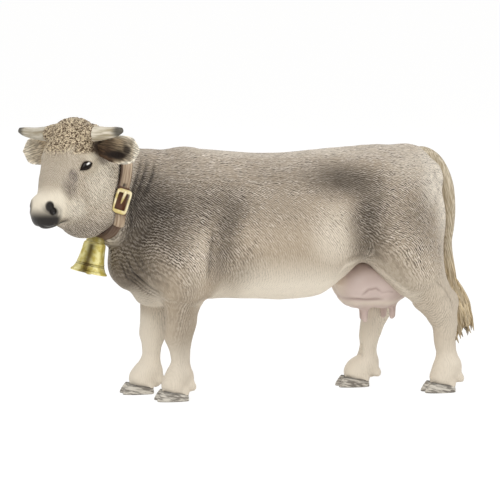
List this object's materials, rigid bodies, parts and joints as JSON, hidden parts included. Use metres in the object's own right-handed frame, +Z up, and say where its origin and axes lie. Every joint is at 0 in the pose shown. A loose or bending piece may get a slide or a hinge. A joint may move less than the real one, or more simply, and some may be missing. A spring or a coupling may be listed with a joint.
{
  "type": "toy farm animal figure",
  "caption": "Standing toy dairy cow in painted solid plastic, head turned to its left, with a buckled collar and a bell.",
  "frame": {"origin": "on the ground, under the middle of the figure's bounding box", "axes": "+Z up; the animal faces -X, so +X runs from its nose to its tail; its left side, the side pictured, is -Y"},
  "size_m": [0.1336, 0.049, 0.0795],
  "materials": {
    "hide": "solid PVC with a moulded coat, matt sprayed grey-brown paint",
    "face": "solid PVC, matt paint, glossy dark eyes",
    "horn": "PVC, satin horn-grey paint with dark tips",
    "ear": "PVC, matt tan paint, dark inside",
    "switch": "PVC, matt straw-coloured paint",
    "udder": "PVC, matt pink-grey paint",
    "leather_look": "plastic painted as brown leather, satin",
    "gold_paint": "plastic with metallic gold paint"
  },
  "bodies": {
    "root": {"body": "hide", "head": "face", "left_horn": "horn", "right_horn": "horn", "left_ear": "ear", "right_ear": "ear", "tail": "switch", "udder": "udder", "collar_strap": "leather_look", "buckle_frame": "gold_paint", "buckle_prong": "gold_paint", "bell_staple": "gold_paint", "bell": "gold_paint", "clapper": "gold_paint"}
  },
  "joints": []
}
